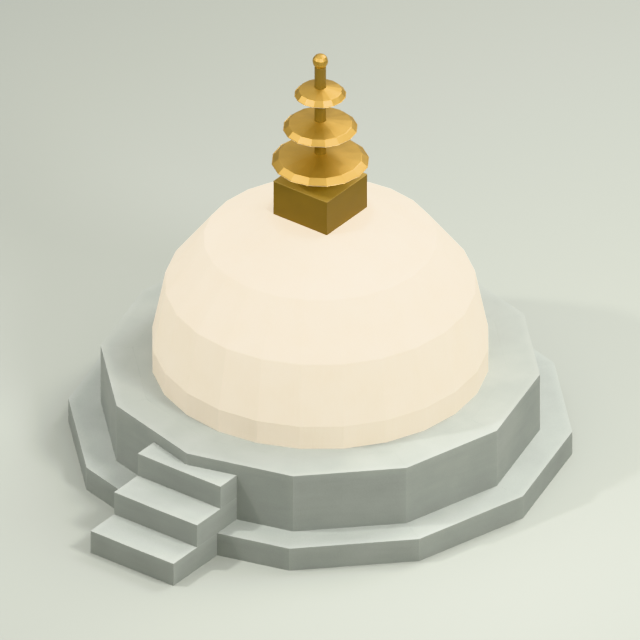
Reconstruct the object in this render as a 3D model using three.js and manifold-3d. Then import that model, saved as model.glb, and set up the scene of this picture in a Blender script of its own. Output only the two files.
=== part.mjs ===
// Stupa: two stepped twelve-sided stone terraces with a three-step stair, a plastered dome
// on a low drum, a gilded square block, and a mast with three round canopies and a ball.
// Millimetres, +Z up. The origin is on the dome's axis at ground level.
// The stair is on the -Y side and climbs towards +Y.

import * as THREE from 'three';
import { mergeVertices } from 'three/addons/utils/BufferGeometryUtils.js';
import Module from 'manifold-3d';

const wasm = await Module();
wasm.setup();

// Open joint between pieces that stand side by side
const jointGap = 0.3;

// Terraces: both have a corner on the stair's centre line
const terraceSides = 12;
const kerb = { radius: 1950, bottom: 0, top: 200 };
const wall = { radius: 1700, bottom: kerb.top, top: 700 };
const coreRadius = 1450;

// Stair: equal risers and goings, centred on x = 0
const stepRise = 200;
const stepGoing = 300;
const stepWidth = 800;
const stepCount = 3;
const stairFront = 2400;

// Dome: [radius, height] of each ring of corners, from the deck to the flat crown
const domeSides = 24;
const drumRings = [[1300, wall.top], [1300, 900]];
const domeRings = [[1300, 900], [1200, 1400], [900, 1800], [400, 2050]];
const crownHeight = domeRings.at(-1)[1];

// Square block on the crown: thin sheets round a masonry core
const block = { side: 515, height: 300, sheet: 6 };

// Mast, with as many flats as the canopies that it passes through, and a ball on its cut top
const roundSides = 16;
const mastRadius = 45;
const ball = { radius: 61, centre: 3404, sides: 12, rings: 8 };
const ringAngle = Math.PI / ball.rings;
const ballSeat = ball.centre - ball.radius * Math.sin(2 * ringAngle);

// Canopies: shallow cones with a bevelled rim, given by the rim's lower edge, the shoulder
// where the bevel starts, and the height where the cone meets the mast
const canopySheet = 8;
const canopies = {
  lower: { rim: [378, 2500], shoulder: [325, 2545], collar: 2580 },
  middle: { rim: [289, 2800], shoulder: [245, 2843], collar: 2876 },
  upper: { rim: [201, 3100], shoulder: [165, 3143], collar: 3174 },
};

// Hubs: a sleeve on the mast with flat ribs under the canopy's folds
const hub = { wall: 14, height: 62, ribs: 8, ribWidth: 8, ribRoot: 34, ribTip: 12, ribEnd: 12 };

const stone = new THREE.MeshStandardMaterial({ color: '#989c91', roughness: 0.9, metalness: 0 });
const plaster = new THREE.MeshStandardMaterial({ color: '#f5e6cb', roughness: 0.85, metalness: 0 });
const gilding = new THREE.MeshStandardMaterial({ color: '#d6a23c', roughness: 0.4, metalness: 1 });

const stupa = new THREE.Group();

function addPiece(name, geometry, material, turn = 0) {
  const piece = new THREE.Mesh(geometry, material);
  piece.name = name;
  piece.rotation.z = turn;
  stupa.add(piece);
}

// Corners of a regular polygon, the first on +X
function polygon(sides, radius) {
  return Array.from({ length: sides }, (_, i) => {
    const angle = (2 * Math.PI * i) / sides;
    return new THREE.Vector2(radius * Math.cos(angle), radius * Math.sin(angle));
  });
}

function square(side) {
  const half = side / 2;
  return [[-half, -half], [half, -half], [half, half], [-half, half]]
    .map(([x, y]) => new THREE.Vector2(x, y));
}

// Upright solid on a plan outline, with an optional hole through it
function upright(outline, bottom, top, hole) {
  const shape = new THREE.Shape(outline);
  if (hole) shape.holes.push(new THREE.Path(hole));
  const geometry = new THREE.ExtrudeGeometry(shape, { depth: top - bottom, bevelEnabled: false });
  return geometry.translate(0, 0, bottom);
}

// Solid of revolution about Z, with a corner of every ring on the -Y side
function turned(profile, sides) {
  const points = profile.map(([radius, height]) => new THREE.Vector2(radius, height));
  return new THREE.LatheGeometry(points, sides).rotateX(Math.PI / 2);
}

// Plan of one piece of a ring, mitred at both ends, with its outer face square to +X
function mitredPlan(sides, outerRadius, innerRadius) {
  const halfAngle = Math.PI / sides;
  const outer = outerRadius * Math.cos(halfAngle);
  const inner = innerRadius * Math.cos(halfAngle);
  const halfLength = (x) => x * Math.tan(halfAngle) - jointGap / 2 / Math.cos(halfAngle);
  return [
    new THREE.Vector2(inner, -halfLength(inner)),
    new THREE.Vector2(outer, -halfLength(outer)),
    new THREE.Vector2(outer, halfLength(outer)),
    new THREE.Vector2(inner, halfLength(inner)),
  ];
}

// Twelve kerb stones, and the twelve wall stones that stand on their inner part
function addTerraces() {
  const sectorAngle = (2 * Math.PI) / terraceSides;
  const rows = [['lower_kerb', kerb], ['upper_wall', wall]];
  for (const [name, row] of rows) {
    const geometry = upright(mitredPlan(terraceSides, row.radius, coreRadius), row.bottom, row.top);
    for (let i = 0; i < terraceSides; i++) {
      const number = String(i + 1).padStart(2, '0');
      addPiece(`${name}_${number}`, geometry, stone, (i + 0.5) * sectorAngle);
    }
  }
  const core = polygon(terraceSides, coreRadius - jointGap);
  addPiece('terrace_core', upright(core, kerb.bottom, wall.top), stone);
}

// Stacked slabs: each runs back to the terrace that it meets, whose corner notches its back
function addStair() {
  const half = stepWidth / 2;
  const faceSlope = Math.tan(Math.PI / terraceSides);
  for (let i = 0; i < stepCount; i++) {
    const met = i === 0 ? kerb : wall;
    const notch = -met.radius - jointGap / Math.cos(Math.PI / terraceSides);
    const front = -stairFront + i * stepGoing;
    const side = notch + half * faceSlope;
    const outline = [[-half, front], [half, front], [half, side], [0, notch], [-half, side]]
      .map(([x, y]) => new THREE.Vector2(x, y));
    addPiece(`step_${i + 1}`, upright(outline, i * stepRise, (i + 1) * stepRise), stone);
  }
}

function addDome() {
  const closed = (rings) => [[0, rings[0][1]], ...rings, [0, rings.at(-1)[1]]];
  addPiece('dome_drum', turned(closed(drumRings), domeSides), plaster);
  addPiece('dome', turned(closed(domeRings), domeSides), plaster);
}

// Block: a core round the mast, four side sheets mitred at the corners, and a lid sheet
function addBlock() {
  const top = crownHeight + block.height;
  const lidBottom = top - block.sheet;
  const mastHole = polygon(roundSides, mastRadius + jointGap);
  const coreSide = block.side - 2 * (block.sheet + jointGap);
  addPiece('harmika_core', upright(square(coreSide), crownHeight, lidBottom, mastHole), stone);
  const toCorner = Math.SQRT1_2;
  const sheet = mitredPlan(4, block.side * toCorner, (block.side - 2 * block.sheet) * toCorner);
  const sideGeometry = upright(sheet, crownHeight, lidBottom);
  ['right', 'back', 'left', 'front'].forEach((side, i) => {
    addPiece(`harmika_sheet_${side}`, sideGeometry, gilding, (i * Math.PI) / 2);
  });
  addPiece('harmika_lid', upright(square(block.side), lidBottom, top, mastHole), gilding);
}

function addMast() {
  addPiece('mast', upright(polygon(roundSides, mastRadius), crownHeight, ballSeat), gilding);
}

// Cone and bevelled rim of one sheet: the underside is the upper side, lowered
function canopyProfile({ rim, shoulder, collar }) {
  const hole = mastRadius + jointGap;
  const rimWidth = (canopySheet * (rim[0] - shoulder[0])) / (shoulder[1] - rim[1]);
  return [
    [hole, collar],
    shoulder,
    rim,
    [rim[0] - rimWidth, rim[1]],
    [shoulder[0], shoulder[1] - canopySheet],
    [hole, collar - canopySheet],
    [hole, collar],
  ].reverse();
}

function toSolid(geometry) {
  const bare = geometry.clone();
  bare.deleteAttribute('normal');
  bare.deleteAttribute('uv');
  const merged = mergeVertices(bare);
  return new wasm.Manifold(new wasm.Mesh({
    numProp: 3,
    vertProperties: Float32Array.from(merged.attributes.position.array),
    triVerts: Uint32Array.from(merged.index.array),
  }));
}

function toGeometry(solid) {
  const mesh = solid.getMesh();
  const geometry = new THREE.BufferGeometry();
  geometry.setAttribute('position', new THREE.BufferAttribute(mesh.vertProperties, 3));
  geometry.setIndex(new THREE.BufferAttribute(mesh.triVerts, 1));
  geometry.computeVertexNormals();
  return geometry;
}

// Sleeve and ribs of one canopy, just below its sheet
function hubGeometry({ shoulder, collar }) {
  const hole = mastRadius + jointGap;
  const outer = hole + hub.wall;
  const fall = (collar - shoulder[1]) / (shoulder[0] - hole);
  const seat = (radius) => collar - canopySheet - jointGap - fall * (radius - hole);
  const sleeve = turned([
    [hole, seat(hole) - hub.height],
    [outer, seat(hole) - hub.height],
    [outer, seat(outer)],
    [hole, seat(hole)],
    [hole, seat(hole) - hub.height],
  ], roundSides);

  const root = hole + hub.wall / 2;
  const tip = shoulder[0] - hub.ribEnd;
  const side = [
    [root, seat(root) - hub.ribRoot],
    [tip, seat(tip) - hub.ribTip],
    [tip, seat(tip)],
    [root, seat(root) - jointGap],
  ].map(([x, y]) => new THREE.Vector2(x, y));
  const rib = new THREE.ExtrudeGeometry(new THREE.Shape(side), { depth: hub.ribWidth, bevelEnabled: false });
  rib.translate(0, 0, -hub.ribWidth / 2).rotateX(Math.PI / 2);

  let solid = toSolid(sleeve);
  for (let i = 0; i < hub.ribs; i++) {
    const turn = (2 * Math.PI * i) / hub.ribs;
    solid = solid.add(toSolid(rib.clone().rotateZ(turn)));
  }
  return toGeometry(solid);
}

function addCanopies() {
  for (const [level, canopy] of Object.entries(canopies)) {
    addPiece(`canopy_${level}`, turned(canopyProfile(canopy), roundSides), gilding);
    addPiece(`hub_${level}`, hubGeometry(canopy), gilding);
  }
}

// Ball: whole rings from the pole down to the ring that rests on the mast
function addBall() {
  const rings = [[0, ballSeat]];
  for (let i = -2; i < ball.rings / 2; i++) {
    const height = ball.centre + ball.radius * Math.sin(i * ringAngle);
    rings.push([ball.radius * Math.cos(i * ringAngle), height]);
  }
  rings.push([0, ball.centre + ball.radius]);
  addPiece('finial_ball', turned(rings, ball.sides), gilding);
}

addTerraces();
addStair();
addDome();
addBlock();
addMast();
addCanopies();
addBall();

export default stupa;
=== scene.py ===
# Stupa: twelve-sided stone terraces with a stair, a faceted plaster dome and a gilded crown.
# Everything is in metres, +Z up, with the origin on the ground under the middle of the dome.
import math
import random

import bmesh
import bpy
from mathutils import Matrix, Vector, noise


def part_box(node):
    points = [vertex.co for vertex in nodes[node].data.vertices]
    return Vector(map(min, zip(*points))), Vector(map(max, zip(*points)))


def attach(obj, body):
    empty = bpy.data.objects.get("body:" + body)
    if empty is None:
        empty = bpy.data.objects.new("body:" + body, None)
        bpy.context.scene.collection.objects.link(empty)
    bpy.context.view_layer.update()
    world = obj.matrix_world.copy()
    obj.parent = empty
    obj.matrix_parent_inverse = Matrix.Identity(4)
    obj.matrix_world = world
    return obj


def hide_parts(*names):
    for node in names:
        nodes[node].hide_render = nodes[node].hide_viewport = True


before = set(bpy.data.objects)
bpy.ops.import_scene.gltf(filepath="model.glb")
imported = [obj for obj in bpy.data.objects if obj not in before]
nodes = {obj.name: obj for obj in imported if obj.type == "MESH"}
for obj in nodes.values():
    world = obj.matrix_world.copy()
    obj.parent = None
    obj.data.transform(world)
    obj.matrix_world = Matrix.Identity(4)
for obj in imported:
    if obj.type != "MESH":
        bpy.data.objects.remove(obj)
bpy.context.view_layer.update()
millimetre = 0.001
random.seed(12)
print("frame loaded:", len(nodes), "nodes")


# Camera: level horizon, no perspective, from the front right and above
view = {
    "azimuth": math.radians(37.06),  # turned from straight-on towards the right side
    "elevation": math.radians(32.0),
    "width": 4.913,  # metres across the picture
    "aim": Vector((-0.0023, 0.899)),  # picture's middle, right and up from the origin
    "distance": 14.0,
    "farthest": 200.0,
}


def makeCamera():
    turn, rise = view["azimuth"], view["elevation"]
    back = Vector((math.sin(turn) * math.cos(rise), -math.cos(turn) * math.cos(rise), math.sin(rise)))
    facing = (-back).to_track_quat("-Z", "Y")
    lens = bpy.data.cameras.new("camera")
    lens.type = "ORTHO"
    lens.ortho_scale = view["width"]
    lens.clip_end = view["farthest"]
    camera = bpy.data.objects.new("camera", lens)
    sideways = facing @ Vector((1, 0, 0))
    upwards = facing @ Vector((0, 1, 0))
    camera.location = sideways * view["aim"].x + upwards * view["aim"].y + back * view["distance"]
    camera.rotation_mode = "QUATERNION"
    camera.rotation_quaternion = facing
    bpy.context.scene.collection.objects.link(camera)
    bpy.context.scene.camera = camera


makeCamera()


# Materials
def hexToLinear(colour):
    # the sRGB curve, turned back to linear light
    channels = [int(colour[i : i + 2], 16) / 255 for i in (1, 3, 5)]
    linear = [c / 12.92 if c <= 0.04045 else ((c + 0.055) / 1.055) ** 2.4 for c in channels]
    return (*linear, 1.0)


def perMetre(sizeInMillimetres):
    # texture scale that gives features of this size
    return 1.0 / (sizeInMillimetres * millimetre)


def addNode(tree, kind, settings=None, sockets=None, tones=()):
    # sockets: input name or number -> a value, or another node's output to link
    # tones: a colour ramp's stops in order, each a position and a colour
    node = tree.nodes.new("ShaderNode" + kind)
    for key, value in (settings or {}).items():
        setattr(node, key, value)
    for key, value in (sockets or {}).items():
        if isinstance(value, bpy.types.NodeSocket):
            tree.links.new(value, node.inputs[key])
        else:
            node.inputs[key].default_value = value
    if tones:
        stops = node.color_ramp.elements
        stops.remove(stops[1])
        stops[0].position = tones[0][0]
        stops[0].color = hexToLinear(tones[0][1])
        for position, colour in tones[1:]:
            stops.new(position).color = hexToLinear(colour)
    return node


def addUp(tree, layers, shares):
    # noise outputs added together, each by its share
    total = 0.0
    for layer, share in zip(layers, shares):
        step = addNode(tree, "Math", {"operation": "MULTIPLY_ADD"}, {0: layer.outputs[0], 1: share, 2: total})
        total = step.outputs[0]
    return total


def startMaterial(name):
    material = bpy.data.materials.new(name)
    material.use_nodes = True
    tree = material.node_tree
    return material, tree, tree.nodes["Principled BSDF"]


def makeSawnStone():
    # Sawn grey sandstone: a dry, matt, slightly green grey with fine grain, soft clouds of tone
    # and arrises rubbed paler.
    look = {
        "tones": ((0.30, "#949891"), (0.62, "#9fa39b"), (0.95, "#aaada5")),
        "wornEdge": "#adb0a8",
        "shadedSideTone": 0.935,  # painted shade: tone that the upright faces are darkened to
        "litTopTone": 1.165,  # painted light: tone that the tops are lightened to
        "lean": (0.2, 0.8),  # how far a face looks up, from a shaded side to a lit top
        "cloud": 350.0,  # mm
        "bed": 55.0,  # mm between the faint beds
        "bedStretch": (0.12, 0.12, 1.0),  # beds run level
        "grain": 7.0,  # mm; the real grain is under 1 mm, drawn coarse enough to show
        "shares": (0.55, 0.25, 0.45),  # what clouds, beds and grain give the tone
        "sawMark": 31.4,  # mm between saw marks; real ones are about 5 mm, too fine to show
        "sawDepth": 0.2,  # against the grain's depth
        "bump": {"Strength": 0.25, "Distance": 1.0 * millimetre},
        "roughness": 0.9,
    }
    material, tree, surface = startMaterial("sawn_grey_sandstone")
    place = addNode(tree, "TexCoord").outputs["Object"]
    cloudSockets = {"Vector": place, "Scale": perMetre(look["cloud"]), "Detail": 3.0}
    cloud = addNode(tree, "TexNoise", None, cloudSockets)
    level = addNode(tree, "Mapping", None, {"Vector": place, "Scale": look["bedStretch"]})
    bedSockets = {"Vector": level.outputs[0], "Scale": perMetre(look["bed"]), "Detail": 2.0}
    bed = addNode(tree, "TexNoise", None, bedSockets)
    grainSockets = {"Vector": place, "Scale": perMetre(look["grain"]), "Detail": 2.0, "Roughness": 0.7}
    grain = addNode(tree, "TexNoise", None, grainSockets)
    tone = addNode(tree, "Attribute", {"attribute_name": "tone"}).outputs["Fac"]
    worn = addNode(tree, "Attribute", {"attribute_name": "worn"}).outputs["Fac"]
    litTopShare = addNode(tree, "Attribute", {"attribute_name": "litTopShare"}).outputs["Fac"]
    uneven = addUp(tree, (cloud, bed, grain), look["shares"])
    stoneTone = addNode(tree, "Math", {"operation": "ADD"}, {0: uneven, 1: tone})
    ramp = addNode(tree, "ValToRGB", None, {0: stoneTone.outputs[0]}, look["tones"])
    rub = addNode(tree, "Math", {"operation": "MULTIPLY"}, {0: worn, 1: grain.outputs[0]})
    edgeSockets = {0: rub.outputs[0], 6: ramp.outputs[0], 7: hexToLinear(look["wornEdge"])}
    edged = addNode(tree, "Mix", {"data_type": "RGBA"}, edgeSockets)
    # painted light and shade: the tops are painted paler and the upright faces darker
    facing = addNode(tree, "SeparateXYZ", None, {0: addNode(tree, "NewGeometry").outputs["True Normal"]})
    leanSockets = {"Value": facing.outputs[2], "From Min": look["lean"][0], "From Max": look["lean"][1]}
    topShare = addNode(tree, "MapRange", None, leanSockets)
    topTone = addNode(tree, "MapRange", None, {"Value": litTopShare, "To Min": 1.0, "To Max": look["litTopTone"]})
    faceSockets = {
        "Value": topShare.outputs[0],
        "To Min": look["shadedSideTone"],
        "To Max": topTone.outputs[0],
    }
    faceTone = addNode(tree, "MapRange", None, faceSockets)
    wornAndShadedSockets = {"Color": edged.outputs[2], "Value": faceTone.outputs[0]}
    wornAndShaded = addNode(tree, "HueSaturation", None, wornAndShadedSockets)
    tree.links.new(wornAndShaded.outputs[0], surface.inputs["Base Color"])
    surface.inputs["Roughness"].default_value = look["roughness"]
    wavesPerUnit = 20 / math.tau  # bands that this texture draws in one unit of its scale
    sawSockets = {
        "Vector": place,
        "Scale": perMetre(look["sawMark"]) / wavesPerUnit,
        "Distortion": 2.0,
        "Detail": 2.0,
    }
    saw = addNode(tree, "TexWave", {"wave_type": "BANDS", "bands_direction": "Z"}, sawSockets)
    reliefSockets = {0: saw.outputs[1], 1: look["sawDepth"], 2: grain.outputs[0]}
    relief = addNode(tree, "Math", {"operation": "MULTIPLY_ADD"}, reliefSockets)
    bump = addNode(tree, "Bump", None, {**look["bump"], "Height": relief.outputs[0]})
    tree.links.new(bump.outputs[0], surface.inputs["Normal"])
    return material


def makeLimePlaster():
    # Float-finished lime plaster with a thin limewash: warm cream, matt, with broad brush marks
    # and a soft mottle.
    look = {
        "tones": ((0.25, "#efe0c8"), (0.52, "#f3e5cf"), (0.85, "#f6e9d5")),
        "mottle": 240.0,  # mm
        "brush": 18.0,  # mm between brush marks
        "brushStretch": (1.0, 1.0, 0.10),  # the marks run up and down
        "grain": 6.0,  # mm; the real sand grain is about 1 mm, drawn coarse enough to show
        "shares": (0.6, 0.25, 0.2),  # what mottle, brush marks and grain give the tone
        "brushDepth": 0.8,  # against the grain's depth
        "bump": {"Strength": 0.2, "Distance": 1.0 * millimetre},
        "roughness": 0.85,
    }
    material, tree, surface = startMaterial("limewashed_lime_plaster")
    place = addNode(tree, "TexCoord").outputs["Object"]
    mottleSockets = {"Vector": place, "Scale": perMetre(look["mottle"]), "Detail": 4.0}
    mottle = addNode(tree, "TexNoise", None, mottleSockets)
    stroke = addNode(tree, "Mapping", None, {"Vector": place, "Scale": look["brushStretch"]})
    brushSockets = {"Vector": stroke.outputs[0], "Scale": perMetre(look["brush"]), "Detail": 2.0}
    brush = addNode(tree, "TexNoise", None, brushSockets)
    grainSockets = {"Vector": place, "Scale": perMetre(look["grain"]), "Detail": 2.0, "Roughness": 0.6}
    grain = addNode(tree, "TexNoise", None, grainSockets)
    uneven = addUp(tree, (mottle, brush, grain), look["shares"])
    ramp = addNode(tree, "ValToRGB", None, {0: uneven}, look["tones"])
    tree.links.new(ramp.outputs[0], surface.inputs["Base Color"])
    surface.inputs["Roughness"].default_value = look["roughness"]
    reliefSockets = {0: brush.outputs[0], 1: look["brushDepth"], 2: grain.outputs[0]}
    relief = addNode(tree, "Math", {"operation": "MULTIPLY_ADD"}, reliefSockets)
    bump = addNode(tree, "Bump", None, {**look["bump"], "Height": relief.outputs[0]})
    tree.links.new(bump.outputs[0], surface.inputs["Normal"])
    return material


def makeGilding(name, look):
    # Gilded copper under years of dust and lacquer: deep warm metal, softly rubbed, so highlights
    # are broad and a little cloudy, and part of its light is matt.
    material, tree, surface = startMaterial(name)
    place = addNode(tree, "TexCoord").outputs["Object"]
    cloudSockets = {"Vector": place, "Scale": perMetre(look["cloud"]), "Detail": 3.0}
    cloud = addNode(tree, "TexNoise", None, cloudSockets)
    rubSockets = {"Vector": place, "Scale": perMetre(look["rub"]), "Detail": 3.0, "Roughness": 0.65}
    rubbed = addNode(tree, "TexNoise", None, rubSockets)
    uneven = addUp(tree, (cloud, rubbed), gildingWear["shares"])
    tones = ((gildingWear["darkest"], look["dark"]), (gildingWear["palest"], look["pale"]))
    ramp = addNode(tree, "ValToRGB", None, {0: uneven}, tones)
    tree.links.new(ramp.outputs[0], surface.inputs["Base Color"])
    roughSockets = {
        "Value": uneven,
        "From Min": gildingWear["smoothest"],
        "From Max": gildingWear["roughest"],
        "To Min": look["roughness"] - gildingWear["roughnessSpread"],
        "To Max": look["roughness"] + gildingWear["roughnessSpread"],
    }
    rough = addNode(tree, "MapRange", None, roughSockets)
    tree.links.new(rough.outputs[0], surface.inputs["Roughness"])
    surface.inputs["Metallic"].default_value = look["metallic"]
    bump = addNode(tree, "Bump", None, {**gildingWear["bump"], "Height": rubbed.outputs[0]})
    tree.links.new(bump.outputs[0], surface.inputs["Normal"])
    return material


def makeLimewashAndReflectedLight():
    # Limewash on the copper under the canopies: chalky, nearly white, streaky. Its paleness is partly painted
    # light, so that the canopy below mirrors brightness where the underside is in shade.
    look = {
        "tones": ((0.25, "#ddd0b6"), (0.5, "#f2ebdc")),
        "streak": 14.0,  # mm between brush streaks
        "bump": {"Strength": 0.3, "Distance": 0.8 * millimetre},
        "roughness": 0.95,
    }
    material, tree, surface = startMaterial("limewash_and_reflected_light")
    place = addNode(tree, "TexCoord").outputs["Object"]
    streakSockets = {"Vector": place, "Scale": perMetre(look["streak"]), "Detail": 3.0, "Roughness": 0.7}
    streak = addNode(tree, "TexNoise", None, streakSockets)
    ramp = addNode(tree, "ValToRGB", None, {0: streak.outputs[0]}, look["tones"])
    tree.links.new(ramp.outputs[0], surface.inputs["Base Color"])
    surface.inputs["Roughness"].default_value = look["roughness"]
    bump = addNode(tree, "Bump", None, {**look["bump"], "Height": streak.outputs[0]})
    tree.links.new(bump.outputs[0], surface.inputs["Normal"])
    return material


# what all the gilding shares
gildingWear = {
    "shares": (0.7, 0.3),  # what clouds and rubbing give the tone
    "darkest": 0.25,  # unevenness at which the gold is at its dark and pale tones
    "palest": 0.75,
    "smoothest": 0.3,  # unevenness at which it is at its smoothest and roughest
    "roughest": 0.7,
    "roughnessSpread": 0.04,
    "bump": {"Strength": 0.15, "Distance": 0.6 * millimetre},
}
brightGilding = {  # canopies and ball, in the open
    "dark": "#bd9a53",
    "pale": "#c7a45c",
    "cloud": 120.0,  # mm
    "rub": 9.0,  # mm between rubbed spots
    "roughness": 0.42,
    "metallic": 0.83,
}
shadedBlockGilding = {  # sides of the block: painted shade, a darker copy of the canopies' gilding
    "dark": "#745d25",
    "pale": "#7e6529",
    "cloud": 160.0,
    "rub": 9.0,
    "roughness": 0.5,
    "metallic": 0.3,
}
litLidGilding = {  # top of the block: painted light, paler than the sides to make up for the canopies' shade on it
    "dark": "#a48947",
    "pale": "#b0934f",
    "cloud": 160.0,
    "rub": 9.0,
    "roughness": 0.5,
    "metallic": 0.3,
}
# painted shade: the mast's gilding is a darker copy of the canopies'
shadedMastGilding = {
    "dark": "#7f6832",
    "pale": "#89703a",
    "cloud": 90.0,
    "rub": 9.0,
    "roughness": 0.5,
    "metallic": 0.3,
}

stone = makeSawnStone()
plaster = makeLimePlaster()
gilding = makeGilding("rubbed_gilded_copper", brightGilding)
blockFinish = makeGilding("shade_painted_gilded_copper", shadedBlockGilding)
lidFinish = makeGilding("light_painted_gilded_copper", litLidGilding)
poleFinish = makeGilding("shade_painted_gilded_pole", shadedMastGilding)
underside = makeLimewashAndReflectedLight()
print("materials made")


# Mesh helpers
weld = 0.01 * millimetre  # points closer than this are one
flat = math.radians(0.5)  # faces closer in angle than this are one flat face


def copyNode(nodeName):
    # a node's own shape, with its triangles joined back into flat faces
    mesh = bmesh.new()
    mesh.from_mesh(nodes[nodeName].data)
    bmesh.ops.remove_doubles(mesh, verts=mesh.verts, dist=weld)
    bmesh.ops.dissolve_limit(mesh, angle_limit=flat, verts=mesh.verts[:], edges=mesh.edges[:])
    return mesh


def ringsOf(nodeName):
    # (height, smallest radius, largest radius) at each level of a node made round the middle axis
    rings = {}
    for vertex in nodes[nodeName].data.vertices:
        height = round(vertex.co.z, 4)
        radius = math.hypot(vertex.co.x, vertex.co.y)
        least, most = rings.get(height, (radius, radius))
        rings[height] = (min(least, radius), max(most, radius))
    return [(height, *rings[height]) for height in sorted(rings)]


def softenPath(corners, width, cell, closed=False, sharp=()):
    # rounds each corner of a line with three points, but for the sharp ones, then fills the
    # long runs with points about one cell apart
    mostOfRun = 0.3  # share of a short run that one corner may take
    blunt = 0.55  # how far the middle point is drawn back from the sharp corner
    path = []
    for i, corner in enumerate(corners):
        if i in sharp or not closed and i in (0, len(corners) - 1):
            path.append(corner)
            continue
        before = corners[i - 1] - corner
        after = corners[(i + 1) % len(corners)] - corner
        start = corner + before * min(width / before.length, mostOfRun)
        end = corner + after * min(width / after.length, mostOfRun)
        path += [start, corner.lerp((start + end) / 2, blunt), end]
    filled = []
    following = path[1:] + (path[:1] if closed else [])
    for here, there in zip(path, following):
        steps = max(1, round((there - here).length / cell))
        filled += [here.lerp(there, k / steps) for k in range(steps)]
    return filled if closed else filled + [path[-1]]


def turnFlats(mesh, path, sides, arris, cell, closed=False):
    # stands a path of (radius, height) round the middle axis, flat between softened corners
    def corner(k):
        angle = 2 * math.pi * k / sides
        return Vector((math.cos(angle), math.sin(angle)))

    mostOfSide = 0.2  # share of a short side that one arris may take
    widest = max(point.x for point in path)
    runs = max(1, round(2 * widest * math.sin(math.pi / sides) / cell))
    rings = []
    for radius, height in path:
        side = 2 * radius * math.sin(math.pi / sides)
        soft = min(arris / side, mostOfSide)
        ring = []
        for k in range(sides):
            here, there = corner(k), corner(k + 1)
            pulled = here * (radius - soft * side * math.tan(math.pi / sides / 2))
            ring.append(mesh.verts.new((pulled.x, pulled.y, height)))
            for j in range(runs + 1):
                spot = here.lerp(there, soft + (1 - 2 * soft) * j / runs) * radius
                ring.append(mesh.verts.new((spot.x, spot.y, height)))
        rings.append(ring)
    for lower, upper in zip(rings, rings[1:] + (rings[:1] if closed else [])):
        for i in range(len(lower)):
            mesh.faces.new((lower[i - 1], lower[i], upper[i], upper[i - 1]))
    return rings


def roundEdges(mesh, chosen, width):
    bmesh.ops.bevel(
        mesh,
        geom=chosen,
        offset=width,
        offset_type="OFFSET",
        segments=2,
        profile=0.5,
        affect="EDGES",
        clamp_overlap=True,
    )


def cutCells(mesh, direction, low, high, cell):
    # slices every face square to this direction into strips about one cell wide
    count = max(1, round((high - low) / cell))
    for i in range(1, count):
        bmesh.ops.bisect_plane(
            mesh,
            geom=mesh.verts[:] + mesh.edges[:] + mesh.faces[:],
            dist=2 * weld,
            plane_co=direction * (low + (high - low) * i / count),
            plane_no=direction,
        )


def finishPiece(mesh, name, materials, nodeName, sharpAngle=30.0):
    data = bpy.data.meshes.new(name)
    bmesh.ops.recalc_face_normals(mesh, faces=mesh.faces)
    mesh.to_mesh(data)
    mesh.free()
    for material in materials:
        data.materials.append(material)
    for polygon in data.polygons:
        polygon.use_smooth = True
    data.set_sharp_from_angle(angle=math.radians(sharpAngle))
    piece = bpy.data.objects.new(name, data)
    bpy.context.scene.collection.objects.link(piece)
    weighted = piece.modifiers.new("weighted", "WEIGHTED_NORMAL")
    weighted.keep_sharp = True
    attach(piece, "root")
    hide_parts(nodeName)


# Terrace stones: twelve kerb stones and twelve wall stones, one for each side of the platform
terraceStones = {
    "sides": 12,
    "arris": 0.005,  # what is rubbed off the sawn edges
    "cell": 0.06,  # spacing of the points that carry the unevenness
    "hollow": 0.0015,  # how far a face dips
    "hollowSize": 0.35,  # from one dip to the next
    "tone": 0.02,  # difference between one stone and the next
    "fade": 0.1,  # a face is flat at its ends and dips from here on
    "wornReach": 0.012,  # how far from an arris the rubbing reaches
    "endWear": 1.5,  # the upright arrises are rubbed this much less
    "litTopShare": {"lower": 1.0, "upper": 0.33},  # painted light: how much paler the tops are painted
}


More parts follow.
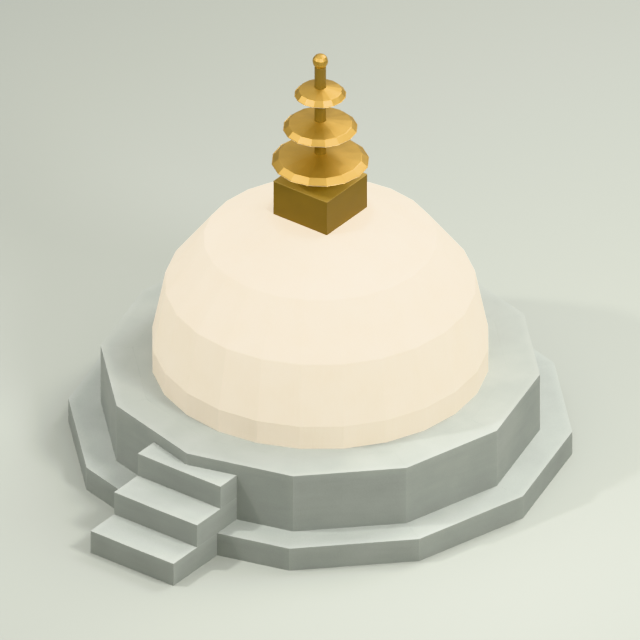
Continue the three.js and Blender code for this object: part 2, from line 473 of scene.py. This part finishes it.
def dressTerraceStone(nodeName, number):
    settings = terraceStones
    low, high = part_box(nodeName)
    angle = (number - 0.5) * 2 * math.pi / settings["sides"]
    outward = Vector((math.cos(angle), math.sin(angle), 0))
    along = Vector((-math.sin(angle), math.cos(angle), 0))
    points = [v.co for v in nodes[nodeName].data.vertices]
    tierName = nodeName[:5]  # lower or upper
    onPlane = 1.0 * millimetre  # points nearer than this lie on a plane of the node
    onFace = 0.1 * millimetre  # and nearer than this on the stone's front or end
    face = max(p.dot(outward) for p in points)
    back = min(p.dot(outward) for p in points)

    def halfLength(depth):
        return max(p.dot(along) for p in points if abs(p.dot(outward) - depth) < onPlane)

    frontHalf, backHalf = halfLength(face), halfLength(back)
    height = high.z - low.z
    corners = [Vector(c) for c in ((face, 0), (face, height), (back, height), (back, 0))]
    outline = softenPath(corners, settings["arris"], settings["cell"], closed=True, sharp=(0, 2, 3))
    pull = settings["arris"] * math.tan(math.pi / settings["sides"] / 2)
    soft = settings["arris"] / (2 * frontHalf)
    runs = round(2 * frontHalf / settings["cell"])
    spots = [0.0] + [soft + (1 - 2 * soft) * j / runs for j in range(runs + 1)] + [1.0]
    mesh = bmesh.new()
    worn = mesh.verts.layers.float.new("worn")
    tone = mesh.verts.layers.float.new("tone")
    litTopShare = mesh.verts.layers.float.new("litTopShare")
    stoneTone = random.uniform(-1, 1) * settings["tone"]
    sections = []
    for spot in spots:
        section = []
        for depth, rise in outline:
            half = backHalf + (frontHalf - backHalf) * (depth - back) / (face - back)
            side = half * (2 * spot - 1)
            fromFace = face - depth
            fromTop = height - rise
            fromEnd = half - abs(side)
            if fromEnd < onFace and fromFace < settings["arris"]:
                depth -= pull
            place = outward * depth + along * side + Vector((0, 0, low.z + rise))
            dip = 0.5 + 0.5 * noise.noise(place / settings["hollowSize"])
            fade = min(1.0, fromEnd / settings["fade"])
            if fromFace < onFace and 0 < rise:
                place -= outward * (settings["hollow"] * fade * dip)
            vertex = mesh.verts.new(place)
            vertex[tone] = stoneTone
            vertex[litTopShare] = settings["litTopShare"][tierName]
            fromArris = math.hypot(fromFace, fromTop)
            fromUpright = math.hypot(fromFace, fromEnd) * settings["endWear"]
            reach = min(fromArris, fromUpright)
            vertex[worn] = max(0.0, 1.0 - reach / settings["wornReach"])
            section.append(vertex)
        sections.append(section)
    for here, there in zip(sections, sections[1:]):
        for i in range(len(here)):
            mesh.faces.new((here[i - 1], here[i], there[i], there[i - 1]))
    mesh.faces.new(sections[0])
    mesh.faces.new(list(reversed(sections[-1])))
    finishPiece(mesh, nodeName + "_stone", [stone], nodeName)


for number in range(1, terraceStones["sides"] + 1):
    dressTerraceStone(f"lower_kerb_{number:02d}", number)
    dressTerraceStone(f"upper_wall_{number:02d}", number)


def dressCore():
    mesh = copyNode("terrace_core")
    mesh.verts.layers.float.new("tone")
    mesh.verts.layers.float.new("worn")
    litTopShare = mesh.verts.layers.float.new("litTopShare")
    # painted light: the paving's top is painted paler like the wall tops
    for vertex in mesh.verts:
        vertex[litTopShare] = terraceStones["litTopShare"]["upper"]
    finishPiece(mesh, "terrace_core_paving", [stone], "terrace_core")


dressCore()
print("terrace stones dressed")


# Stair: three solid blocks, each with its front and side arrises rubbed
stairBlocks = {
    "count": 3,
    "arris": 0.005,
    "cell": 0.06,
    "dish": 0.003,  # how far feet have worn the middle of the nosing
    "dishWidth": 0.22,  # half of the width that feet use
    "tread": 0.3,  # from the nosing back to the next step
    "dishDepth": 0.02,  # only points this near the top sink with it
    # painted light: how much paler the step tops are painted
    "litTopShare": 1.0,
}


def dressStep(number):
    settings = stairBlocks
    nodeName = f"step_{number}"
    mesh = copyNode(nodeName)
    low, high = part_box(nodeName)
    touch = 0.5 * millimetre  # points nearer than this lie on a face

    def faces(vertex):
        # which of the shown faces a point lies on
        shown = set()
        if abs(vertex.co.z - high.z) < touch:
            shown.add("top")
        if abs(vertex.co.y - low.y) < touch:
            shown.add("front")
        if abs(vertex.co.x - high.x) < touch:
            shown.add("right")
        if abs(vertex.co.x - low.x) < touch:
            shown.add("left")
        return shown

    chosen = [e for e in mesh.edges if len(faces(e.verts[0]) & faces(e.verts[1])) == 2]
    roundEdges(mesh, chosen, settings["arris"])
    for i, direction in enumerate((Vector((1, 0, 0)), Vector((0, 1, 0)), Vector((0, 0, 1)))):
        cutCells(mesh, direction, low[i], high[i], settings["cell"])
    worn = mesh.verts.layers.float.new("worn")
    tone = mesh.verts.layers.float.new("tone")
    litTopShare = mesh.verts.layers.float.new("litTopShare")
    stoneTone = random.uniform(-1, 1) * terraceStones["tone"]
    tread = settings["tread"]
    for vertex in mesh.verts:
        front = vertex.co.y - low.y
        below = high.z - vertex.co.z
        side = high.x - abs(vertex.co.x)
        vertex[tone] = stoneTone
        vertex[litTopShare] = settings["litTopShare"]
        reach = min(math.hypot(front, below), math.hypot(side, below), math.hypot(front, side))
        vertex[worn] = max(0.0, 1.0 - reach / terraceStones["wornReach"])
        if below < settings["dishDepth"] and front < tread:
            across = math.exp(-((vertex.co.x / settings["dishWidth"]) ** 2))
            vertex.co.z -= settings["dish"] * across * (1.0 - front / tread)
    finishPiece(mesh, nodeName + "_block", [stone], nodeName)


for number in range(1, stairBlocks["count"] + 1):
    dressStep(number)
print("stair dressed")


# Dome: plaster laid to a template in twenty-four flats, its arrises just softened by the float
domePlaster = {
    "sides": 24,
    "arris": 0.007,
    "cell": 0.06,
    "unevenness": 0.0016,  # how far the float leaves it from true
    "waveSize": 0.3,  # from one wave to the next
}


def dressPlaster(nodeName):
    settings = domePlaster
    corners = [Vector((most, height)) for height, least, most in ringsOf(nodeName)]
    path = softenPath(corners, settings["arris"], settings["cell"])
    mesh = bmesh.new()
    rings = turnFlats(mesh, path, settings["sides"], settings["arris"], settings["cell"])
    for ring in rings[1:-1]:
        for vertex in ring:
            dip = 0.5 + 0.5 * noise.noise(vertex.co / settings["waveSize"])
            inward = Vector((-vertex.co.x, -vertex.co.y, 0)).normalized()
            vertex.co += inward * (settings["unevenness"] * dip)
    mesh.faces.new(list(reversed(rings[0])))
    mesh.faces.new(rings[-1])
    finishPiece(mesh, nodeName + "_plaster", [plaster], nodeName, sharpAngle=50.0)


dressPlaster("dome_drum")
dressPlaster("dome")
print("dome plastered")


# Canopies: each one sheet folded to sixteen flats round the mast
canopies = {
    "sides": 16,
    "fold": 0.0025,  # what each fold is rounded by
    "cell": 0.05,
    "beadRadius": 0.0035,  # wire rolled into the rim
    "beadSides": 8,
    "downward": -0.3,  # faces that look down more than this are limewashed
}


def dressCanopy(nodeName):
    settings = canopies
    rings = ringsOf(nodeName)
    # the rim holds both edges of the sheet; above it, its lower and upper faces take turns
    rimHeight, rimInside, rimOutside = rings[0]
    outer = [Vector((rimOutside, rimHeight))]
    outer += [Vector((most, height)) for height, least, most in rings[2::2]]
    inner = [Vector((rimInside, rimHeight))]
    inner += [Vector((most, height)) for height, least, most in rings[1::2]]
    mesh = bmesh.new()
    path = softenPath(outer + inner[::-1], settings["fold"], settings["cell"], closed=True)
    turnFlats(mesh, path, settings["sides"], settings["fold"], settings["cell"], closed=True)
    bead = settings["beadRadius"]
    middle = Vector(((rimInside + rimOutside) / 2, rimHeight + bead))
    turns = [2 * math.pi * k / settings["beadSides"] for k in range(settings["beadSides"])]
    loop = [middle + Vector((math.cos(turn), math.sin(turn))) * bead for turn in turns]
    turnFlats(mesh, loop, settings["sides"], settings["fold"], settings["cell"], closed=True)
    bmesh.ops.recalc_face_normals(mesh, faces=mesh.faces)
    for face in mesh.faces:
        face.material_index = 1 if face.normal.z < settings["downward"] else 0
    finishes = [gilding, underside]
    finishPiece(mesh, nodeName + "_gilt", finishes, nodeName, sharpAngle=60.0)


# Metal that keeps the node's own shape, with what its edges are softened by
blockMetal = {
    "harmika_core": 0.001,
    "harmika_sheet_right": 0.0012,
    "harmika_sheet_back": 0.0012,
    "harmika_sheet_left": 0.0012,
    "harmika_sheet_front": 0.0012,
}
lidMetal = {"harmika_lid": 0.0025}
poleMetal = {
    "mast": 0.002,
    "hub_lower": 0.001,
    "hub_middle": 0.001,
    "hub_upper": 0.001,
}
ballMetal = {"finial_ball": 0.0015}


def dressMetal(edges, material, smallestAngle=10.0):
    for nodeName, width in edges.items():
        mesh = copyNode(nodeName)
        chosen = [e for e in mesh.edges if e.calc_face_angle(0) > math.radians(smallestAngle)]
        roundEdges(mesh, chosen, width)
        finishPiece(mesh, nodeName + "_gilt", [material], nodeName, sharpAngle=50.0)


for tier in ("lower", "middle", "upper"):
    dressCanopy("canopy_" + tier)
dressMetal(blockMetal, blockFinish)
dressMetal(lidMetal, lidFinish)
dressMetal(poleMetal, poleFinish)
dressMetal(ballMetal, gilding)
print("crown gilded")


# Ground and light
ground = {
    "reach": 60.0,
    "colour": "#acafa5",
    "roughness": 0.9,
}


def makeGround():
    material, tree, surface = startMaterial("pale_plain_floor")
    surface.inputs["Base Color"].default_value = hexToLinear(ground["colour"])
    surface.inputs["Roughness"].default_value = ground["roughness"]
    mesh = bmesh.new()
    bmesh.ops.create_grid(mesh, x_segments=1, y_segments=1, size=ground["reach"])
    data = bpy.data.meshes.new("floor")
    mesh.to_mesh(data)
    mesh.free()
    data.materials.append(material)
    floor = bpy.data.objects.new("floor", data)
    bpy.context.scene.collection.objects.link(floor)


makeGround()

# round studio lamps; azimuth is measured from +X towards +Y
lampAim = Vector((0, 0, 1))  # the point that they all face
lamps = {
    "key_right": {"azimuth": -17.3, "elevation": 44.5, "distance": 6.5, "size": 1.65, "power": 251},
    "fill_left": {"azimuth": -122, "elevation": 48, "distance": 7.0, "size": 0.36, "power": 200},
    "rim_back": {"azimuth": 76, "elevation": 49, "distance": 12.1, "size": 6.1, "power": 900},
}
sky = {
    "colour": "#ffffff",
    "horizon": 0.23,  # strength of the light that comes in level
    "overhead": 0.95,
    "fullHeight": 0.7,  # sine of the height above which the sky is at its brightest
}


def makeLights():
    for name, lamp in lamps.items():
        light = bpy.data.lights.new(name, "AREA")
        light.shape = "DISK"
        light.size = lamp["size"]
        light.energy = lamp["power"]
        turn = math.radians(lamp["azimuth"])
        rise = math.radians(lamp["elevation"])
        away = Vector((math.cos(turn) * math.cos(rise), math.sin(turn) * math.cos(rise), math.sin(rise)))
        holder = bpy.data.objects.new(name, light)
        holder.location = away * lamp["distance"] + lampAim
        holder.rotation_mode = "QUATERNION"
        holder.rotation_quaternion = away.to_track_quat("Z", "Y")
        bpy.context.scene.collection.objects.link(holder)
    world = bpy.data.worlds.new("studio")
    bpy.context.scene.world = world
    world.use_nodes = True
    background = world.node_tree.nodes["Background"]
    background.inputs["Color"].default_value = hexToLinear(sky["colour"])
    towards = addNode(world.node_tree, "TexCoord").outputs["Generated"]
    split = addNode(world.node_tree, "SeparateXYZ", None, {0: towards})
    riseSockets = {
        "Value": split.outputs[2],
        "From Max": sky["fullHeight"],
        "To Min": sky["horizon"],
        "To Max": sky["overhead"],
    }
    brighter = addNode(world.node_tree, "MapRange", None, riseSockets)
    world.node_tree.links.new(brighter.outputs[0], background.inputs["Strength"])
    bpy.context.scene.view_settings.view_transform = "Khronos PBR Neutral"


makeLights()
print("lights set")
